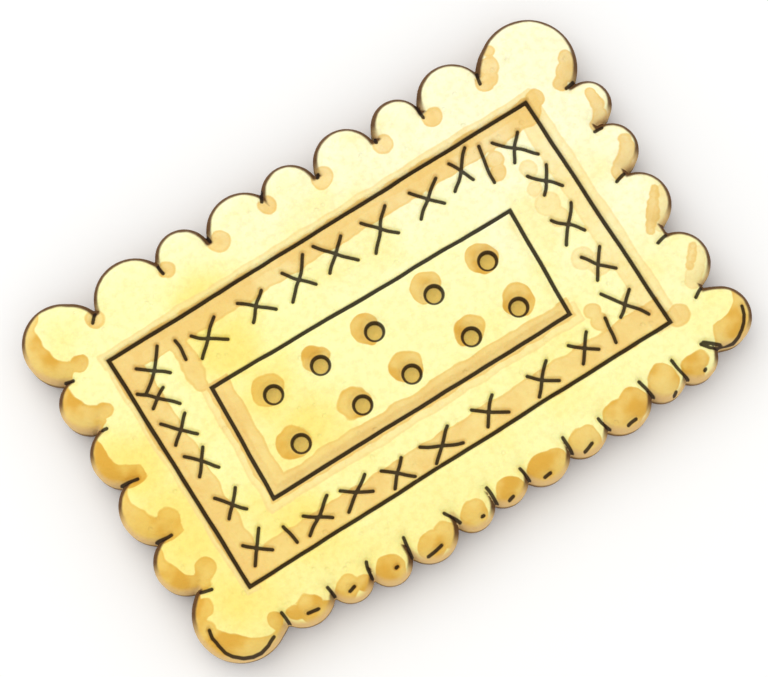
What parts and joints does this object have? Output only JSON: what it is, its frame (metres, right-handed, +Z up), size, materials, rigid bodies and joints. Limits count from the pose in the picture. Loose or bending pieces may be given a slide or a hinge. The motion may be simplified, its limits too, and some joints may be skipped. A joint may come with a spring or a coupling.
{
  "type": "tea biscuit",
  "caption": "Flat rectangular baked biscuit with a rim of round lobes, a sunk band of pressed crosses and a raised panel with docker holes.",
  "frame": {"origin": "centre of the biscuit's bounding box, on its flat underside", "axes": "+X along the long side, +Y along the short side, +Z up through the stamped face"},
  "size_m": [0.0682, 0.045, 0.0062],
  "materials": {
    "baked_dough": "matt baked biscuit dough, pale butter yellow with golden-tan browning at the edges, lines and holes"
  },
  "bodies": {
    "root": {"biscuit": "baked_dough"}
  },
  "joints": []
}
